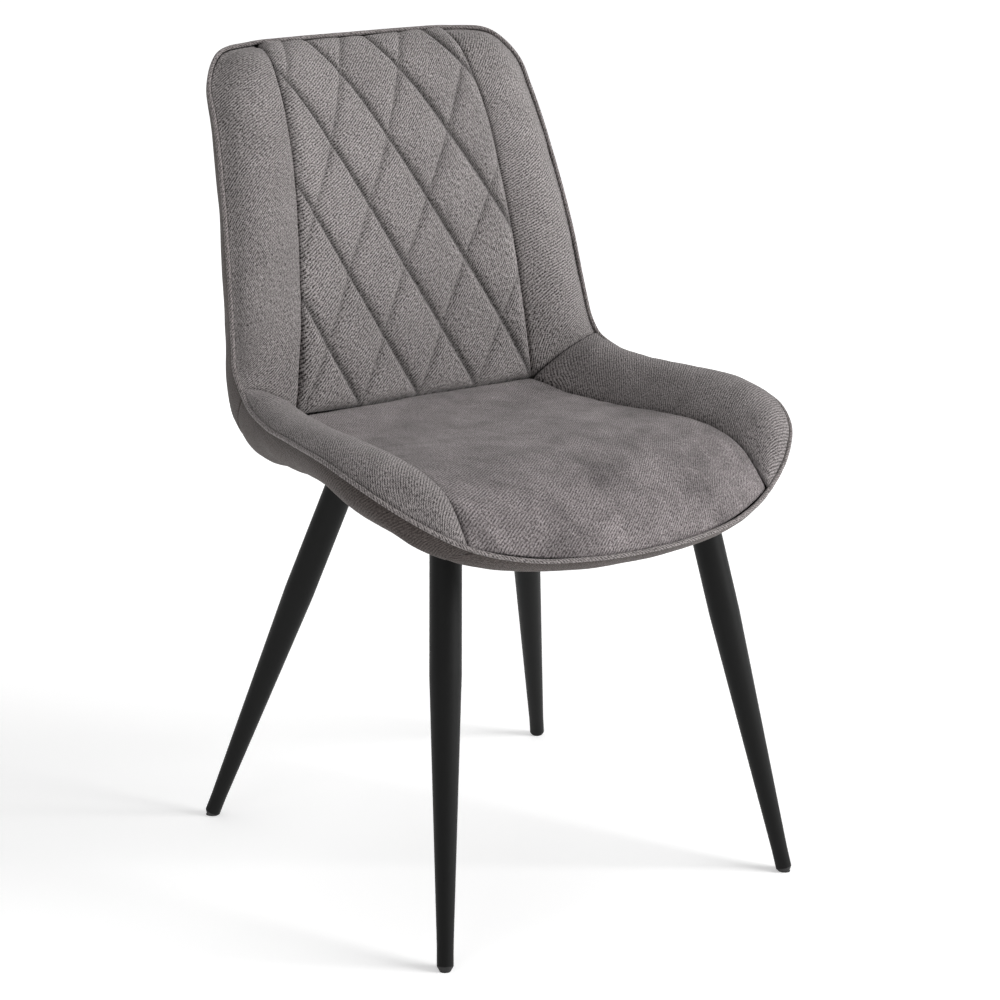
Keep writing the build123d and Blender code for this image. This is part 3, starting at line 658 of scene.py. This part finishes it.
def climb(heights):
    """Distance up the back's centre line at given heights."""
    line = np.array([along(BACK_CENTRE, t) for t in np.linspace(0, 1, CLIMB_STEPS)])
    run = np.concatenate(((0.0,), np.cumsum(np.linalg.norm(np.diff(line, axis=0), axis=1))))
    steep = (run[-1] - run[-2]) / (line[-1, 2] - line[-2, 2])
    past = np.maximum(heights - line[-1, 2], 0) * steep
    before = np.minimum(heights - line[0, 2], 0) * (run[1] - run[0]) / (line[1, 2] - line[0, 2])
    return np.interp(heights, line[:, 2], run) + past + before


def make_back():
    points, inwards, room, vs = pad_grid("back", 260, 176, (CREASE_GAP, CENTRE_REACH),
                                         centre_width(QUILT_SEAM))
    normals = away_normals(points, inwards)
    u, v = arc_lengths(points)
    marks = climb(np.array([height for height, _ in QUILT_ROWS]))
    rows = np.interp(climb(points[:, :, 2]), marks, [row for _, row in QUILT_ROWS])
    a, b = rows + points[:, :, 0] / QUILT_WIDTH, rows - points[:, :, 0] / QUILT_WIDTH
    shallow = 1 - SHALLOW_SHARE * (1 - swell(-b, rising=6.0, falling=2.6))
    lift = PUFF * swell(a, rising=8.0, falling=2.6) * shallow
    to_side = distance_to_side(QUILT_SEAM, vs, points)
    to_end = np.minimum(v, v.max() - v)
    lift = lift * (1 - np.exp(-to_side / PUFF_EDGE)) * (1 - np.exp(-to_end / PUFF_EDGE))
    lift -= (valley(to_side, depth=1.4, width=1.8) + valley(v, depth=1.0, width=2.5)
             + valley(v.max() - v, depth=1.6, width=2.0))
    lift += rumple(points, size=26.0, amount=0.35, seed=3.1)
    uvs = {"weave": np.stack((u, v), axis=2) / 1000, "quilt": np.stack((a, b), axis=2)}
    pad = finish_pad("pad_back_quilted", points, normals, lift, inwards, room, uvs, BACK_FABRIC)
    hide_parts("back_quilted_panel", "back_foam")


def make_seat():
    points, inwards, room, vs = pad_grid("seat", 190, 150, (CREASE_GAP, CENTRE_REACH),
                                         centre_width(SEAT_SEAM))
    normals = away_normals(points, inwards)
    u, v = arc_lengths(points)
    to_side = distance_to_side(SEAT_SEAM, vs, points)
    lift = (-valley(to_side, depth=1.8, width=2.6) - valley(v, depth=1.4, width=4.0)
            - valley(v.max() - v, depth=1.8, width=2.2))
    lift += (rumple(points, size=60.0, amount=1.2, seed=7.7)
             + rumple(points, size=20.0, amount=0.35, seed=1.3))
    uvs = {"weave": np.stack((u, v), axis=2) / 1000}
    pad = finish_pad("pad_seat", points, normals, lift, inwards, room, uvs, SEAT_FABRIC)
    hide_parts("seat_centre_panel", "seat_foam")


WING_ROLL, WING_ROLL_WIDTH, WING_ROLL_START = 4.5, 15.0, 3.0     # turn of a wing down to the piping
WING_FILL, WING_FILL_FOOT, WING_FILL_TOP = 2.5, (0, 0.2), (0.78, 0.97)


def make_side_pads(kind, name, v_end, rows, columns, material, nodes, seed):
    """The pads beside the seat or the back; the left one mirrors the right one but for its bumps."""
    seam = SEAT_SEAM if kind == "bolster" else QUILT_SEAM
    edge = seat_edge if kind == "bolster" else back_edge

    def width(v):
        span = np.linalg.norm(edge(v) - along(seam, v))
        return SEAM_GAP / span, max(LEAST_REACH, 1 - EDGE_GAP / span)

    points, inwards, room, vs = pad_grid(kind, rows, columns, (CREASE_GAP, v_end), width)
    normals = away_normals(points, inwards)
    u, v = arc_lengths(points)
    spans = np.array([np.linalg.norm(edge(t) - along(seam, t)) for t in vs])[:, None]
    fraction = np.array([np.linspace(*width(t), columns) for t in vs])
    to_seam, to_edge = fraction * spans, (1 - fraction) * spans
    lift = (-valley(to_seam, depth=1.5, width=2.0) - valley(to_edge, depth=2.0, width=2.2)
            - valley(v, depth=1.4, width=2.5))
    if kind == "wing":
        fade = blend(*WING_FILL_FOOT, v / v.max()) * (1 - blend(*WING_FILL_TOP, v / v.max()))
        started = 1 - np.exp(-to_edge / WING_ROLL_START)
        lift -= WING_ROLL * np.exp(-(to_edge / WING_ROLL_WIDTH) ** 2) * started
        lift += WING_FILL * np.sin(np.pi * fraction) * fade - valley(v.max() - v, depth=0.9, width=3.0)
    for side, sign in (("right", 1), ("left", -1)):
        flip = np.array((sign, 1, 1))
        bumps = (rumple(points * flip, size=45.0, amount=0.8, seed=seed)
                 + rumple(points * flip, size=18.0, amount=0.25, seed=seed + 2))
        uvs = {"weave": np.stack((u * sign, v), axis=2) / 1000}
        pad = finish_pad(f"{name}_{side}", points * flip, normals * flip, lift + bumps,
                         inwards * flip, room, uvs, material)
        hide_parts(*[f"{node}_{side}" for node in nodes])


# ---- outer covers and piping ------------------------------------------------------------


def cover_grid(stations, sides):
    """Outer surface points, inward directions and depths."""
    points, inwards, depths = [], [], []
    for station in stations:
        side = sides(station)
        total = depth_row(station, side)
        direction = inward_row(station, side)
        points.append(base_row(station, side) + direction * total[:, None])
        inwards.append(direction)
        depths.append(total)
    return np.array(points), np.array(inwards), np.array(depths)


BAND_END, BAND_SIDE, TUCK_SIDE = 0.13, 0.985, 0.62
RIM_SHARE = 0.03          # share of the full depth at which a cover ends, hidden in the piping
LIP_MARGIN, TOP_ANGLE = 0.3, 1.2           # radians round the lip and the top where even steps take over
BACK_START = CREASE - 0.025                # station of the seam between the back and side covers
BACK_RIM_SIDE = 0.6                        # side fraction where the back cover's rounded side starts
COVER_SEAM = 0.0006                        # half the gap of a cover seam, in stations or side fractions
COVER_THICK, THIN_SHARE, THIN_LEAST = 1.4, 0.5, 0.1
RELIEF_DEPTH, RELIEF_RAISE, RELIEF_FLOOR = 8.0, 0.5, -0.4
RELIEF_SQUASH = np.array((1, 1, 0.4))


def band_limit(station):
    """Side fraction of the seam between the front band and a side cover."""
    return BAND_SIDE - (BAND_SIDE - TUCK_SIDE) * blend(0, BAND_END, station)


def rim_sides(station, low, count):
    """Side fractions from low to the piping, evenly spaced round the rounded side."""
    power = side_power(station)
    angles = np.linspace(math.acos(low ** (power / 2)), math.asin(RIM_SHARE), count)
    return np.cos(angles) ** (2 / power)


def lip_stations(high, count):
    """Stations from the front lip up to high, evenly spaced round the rounded lip."""
    shares = np.sin(np.linspace(math.asin(RIM_SHARE), math.pi / 2 - LIP_MARGIN, count))
    stations = LIP_END * (1 - (1 - shares**2) ** (1 / LIP_POWER))
    return np.concatenate((stations, np.linspace(stations[-1], high, count)[1:]))


def top_stations(low, count):
    """Stations from low up to the top edge, evenly spaced round the rounded top."""
    shares = np.sin(np.linspace(TOP_ANGLE, math.asin(RIM_SHARE), count))
    stations = TOP_START + (1 - TOP_START) * (1 - shares**2) ** (1 / TOP_POWER)
    return np.concatenate((np.linspace(low, stations[0], 2 * count), stations[1:]))


def make_cover(name, node, stations, sides, tuck, seed, mirror=False):
    """Sewn cover with soft relief; tuck(u, v) gives how far it sinks at its seams."""
    points, inwards, depths = cover_grid(stations, sides)
    if mirror:
        points, inwards = points * np.array((-1, 1, 1)), inwards * np.array((-1, 1, 1))
    normals = -away_normals(points, inwards)
    u, v = arc_lengths(points)
    inset = np.minimum(1.0, depths / RELIEF_DEPTH)
    relief = (rumple(points, size=70.0, amount=0.8, seed=seed)
              + rumple(points * RELIEF_SQUASH, size=28.0, amount=0.4, seed=seed + 4)) * inset
    relief -= tuck(u, v)
    relief = np.maximum(relief + RELIEF_RAISE, RELIEF_FLOOR) * inset
    outer = points + normals * relief[:, :, None]
    inner = outer - inwards * np.minimum(COVER_THICK, depths * THIN_SHARE + THIN_LEAST)[:, :, None]
    verts, faces = closed_slab(outer, inner)
    uv = np.stack((u, v), axis=2).reshape(-1, 2) / 1000
    layers = {"weave": np.concatenate((uv, uv))}
    cover = make_object(name, metres(verts), faces, layers, SHADED_COVER_FABRIC)
    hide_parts(node)


def make_covers():
    def back_sides(station):
        rim = rim_sides(station, BACK_RIM_SIDE, count=40)
        middle = np.linspace(-BACK_RIM_SIDE, BACK_RIM_SIDE, 50)[1:-1]
        return np.concatenate((-rim[::-1], middle, rim))

    def band_sides(station):
        limit = band_limit(station) - COVER_SEAM
        return np.linspace(-limit, limit, 110)

    def side_sides(station):
        return rim_sides(station, band_limit(station) + COVER_SEAM, count=56)

    def start_seam(u, v):
        return valley(v, depth=1.0, width=2.2)

    def both_seams(u, v):
        return valley(v.max() - v, depth=1.0, width=2.2) + valley(v, depth=0.4, width=1.5)

    def side_seams(u, v):
        side = np.minimum(np.abs(u - u[:, :1]), np.abs(u - u[:, -1:]))
        return valley(side, depth=1.2, width=2.2)

    make_cover("cover_back", "outer_back_cover", top_stations(BACK_START, count=50), back_sides,
               start_seam, seed=2.0)
    make_cover("cover_front_band", "front_band", lip_stations(BAND_END, count=22), band_sides,
               side_seams, seed=5.0)
    side_stations = lip_stations(BACK_START - COVER_SEAM, count=70)
    make_cover("cover_side_right", "outer_side_cover_right", side_stations, side_sides,
               both_seams, seed=8.0)
    make_cover("cover_side_left", "outer_side_cover_left", side_stations, side_sides,
               both_seams, seed=11.0, mirror=True)


WELT_STEPS, WELT_SEGMENTS, WELT_RADIUS = 440, 12, 2.3
WELT_UNEVEN, WELT_UNEVEN_SIZE = 0.05, 9
FACE_OUTWARD = np.array((0, -0.8, 0.6))    # roughly away from the face, on both seat and back


def make_piping():
    """Round welt along the whole edge."""
    last = len(EDGE) - 1
    half = [rail_point(EDGE, last * i / WELT_STEPS) for i in range(WELT_STEPS + 1)]
    loop = np.array([p * np.array((-1, 1, 1)) for p in half[:0:-1]] + half[:-1])
    ahead = np.roll(loop, -1, axis=0) - np.roll(loop, 1, axis=0)
    tangent = ahead / np.linalg.norm(ahead, axis=1)[:, None]
    inner = np.cross(tangent, FACE_OUTWARD)
    inner /= np.linalg.norm(inner, axis=1)[:, None]
    over = np.cross(inner, tangent)
    run = np.concatenate(((0.0,), np.cumsum(np.linalg.norm(np.diff(loop, axis=0), axis=1))))
    verts, uvs = [], []
    for i, point in enumerate(loop):
        uneven = 1 + WELT_UNEVEN * noise.noise(Vector((run[i] / WELT_UNEVEN_SIZE, 0.3, 0.7)))
        for k in range(WELT_SEGMENTS):
            angle = 2 * math.pi * k / WELT_SEGMENTS
            outward = inner[i] * math.cos(angle) + over[i] * math.sin(angle)
            verts.append(point + outward * WELT_RADIUS * uneven)
            around = WELT_RADIUS * min(angle, 2 * math.pi - angle)
            uvs.append((around / 1000, run[i] / 1000))
    faces = []
    count = len(loop)
    for i in range(count):
        ring, following = i * WELT_SEGMENTS, (i + 1) % count * WELT_SEGMENTS
        for k in range(WELT_SEGMENTS):
            beside = (k + 1) % WELT_SEGMENTS
            faces.append((ring + k, ring + beside, following + beside, following + k))
    layers = {"weave": np.array(uvs)}
    piping = make_object("piping_welt", metres(np.array(verts)), faces, layers, PIPING_FABRIC)
    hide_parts("edge_piping", "piping_cord")


make_back()
make_seat()
make_side_pads("bolster", "pad_seat_side", v_end=0.992, rows=180, columns=60,
               material=BOLSTER_FABRIC, nodes=("seat_side_panel", "seat_bolster_foam"), seed=4.2)
make_side_pads("wing", "pad_back_wing", v_end=0.985, rows=180, columns=56,
               material=WING_FABRIC, nodes=("back_wing_panel", "back_wing_foam"), seed=9.4)
make_covers()
make_piping()

# ---- CAD nodes that stay, with their materials ------------------------------------------

NODE_MATERIALS = {
    "bucket_shell": SHELL_PLASTIC, "seat_board": PLYWOOD, "dust_cover": DUST_CLOTH,
    "board_tnuts": ZINC, "dust_cover_staples": ZINC,
    "leg_washers": BLACK_OXIDE, "leg_bolts": BLACK_OXIDE,
}
for place in ("front_left", "front_right", "rear_left", "rear_right"):
    NODE_MATERIALS["leg_" + place] = LEG_PAINT
    NODE_MATERIALS["leg_plate_" + place] = LEG_PAINT
    NODE_MATERIALS["foot_cap_" + place] = FOOT_PLASTIC
for node, material in NODE_MATERIALS.items():
    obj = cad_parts[node]
    if obj.material_slots:
        for slot in obj.material_slots:
            slot.material = material
    else:
        obj.data.materials.append(material)

# ---- floor and light --------------------------------------------------------------------

FLOOR_REACH, FLOOR_GREY, FLOOR_ROUGH, FLOOR_SPECULAR = 30.0, 0.85, 0.9, 0.1
GLOW_NEAR, GLOW_FAR = (0.3, 0.42), (2.6, 0.85)         # distance from the origin, strength
WORLD_STRENGTH = 0.26
# name, place, aimed at, side length and watts of each lamp
LAMPS = (("key", (2.3, -2.6, 2.0), (0, 0, 0.6), 1.8, 142.0),
         ("fill_left", (-3.0, -1.6, 2.0), (0, 0, 0.5), 1.8, 12.0),
         ("top", (0.2, 0.4, 3.2), (0, 0, 0.5), 2.6, 22.0))


def make_floor():
    """White floor that glows more with distance, so that it ends in a plain white background."""
    mesh = bpy.data.meshes.new("floor")
    corners = [(x * FLOOR_REACH, y * FLOOR_REACH, 0) for x, y in ((-1, -1), (1, -1), (1, 1), (-1, 1))]
    mesh.from_pydata(corners, [], [(0, 1, 2, 3)])
    floor = bpy.data.objects.new("floor", mesh)
    bpy.context.scene.collection.objects.link(floor)
    g = Graph("floor_white")
    g.shader.inputs["Base Color"].default_value = (FLOOR_GREY, FLOOR_GREY, FLOOR_GREY, 1)
    g.shader.inputs["Roughness"].default_value = FLOOR_ROUGH
    g.shader.inputs["Specular IOR Level"].default_value = FLOOR_SPECULAR
    g.shader.inputs["Emission Color"].default_value = (1, 1, 1, 1)
    away = g.node("ShaderNodeVectorMath", operation="LENGTH")
    g.link(g.node("ShaderNodeTexCoord").outputs["Object"], away.inputs[0])
    glow = g.node("ShaderNodeMapRange", interpolation_type="SMOOTHSTEP")
    g.link(away.outputs["Value"], glow.inputs["Value"])
    glow.inputs["From Min"].default_value, glow.inputs["To Min"].default_value = GLOW_NEAR
    glow.inputs["From Max"].default_value, glow.inputs["To Max"].default_value = GLOW_FAR
    g.link(glow.outputs["Result"], g.shader.inputs["Emission Strength"])
    mesh.materials.append(g.material)


def make_light(name, place, target, size, power):
    data = bpy.data.lights.new(name, "AREA")
    data.shape = "SQUARE"
    data.size = size
    data.energy = power
    lamp = bpy.data.objects.new(name, data)
    bpy.context.scene.collection.objects.link(lamp)
    lamp.location = place
    lamp.rotation_mode = "QUATERNION"
    lamp.rotation_quaternion = (Vector(target) - Vector(place)).to_track_quat("-Z", "Y")


def make_world():
    """White behind everything for the camera, and a weaker white that lights the chair."""
    world = bpy.data.worlds.new("studio")
    bpy.context.scene.world = world
    world.use_nodes = True
    tree = world.node_tree
    seen, lit = tree.nodes["Background"], tree.nodes.new("ShaderNodeBackground")
    seen.inputs["Color"].default_value = (1, 1, 1, 1)
    lit.inputs["Color"].default_value = (1, 1, 1, 1)
    lit.inputs["Strength"].default_value = WORLD_STRENGTH
    rays, mix = tree.nodes.new("ShaderNodeLightPath"), tree.nodes.new("ShaderNodeMixShader")
    tree.links.new(rays.outputs["Is Camera Ray"], mix.inputs[0])
    tree.links.new(lit.outputs[0], mix.inputs[1])
    tree.links.new(seen.outputs[0], mix.inputs[2])
    tree.links.new(mix.outputs[0], tree.nodes["World Output"].inputs["Surface"])


make_floor()
for lamp in LAMPS:
    make_light(*lamp)
make_world()
bpy.context.scene.view_settings.view_transform = "Standard"
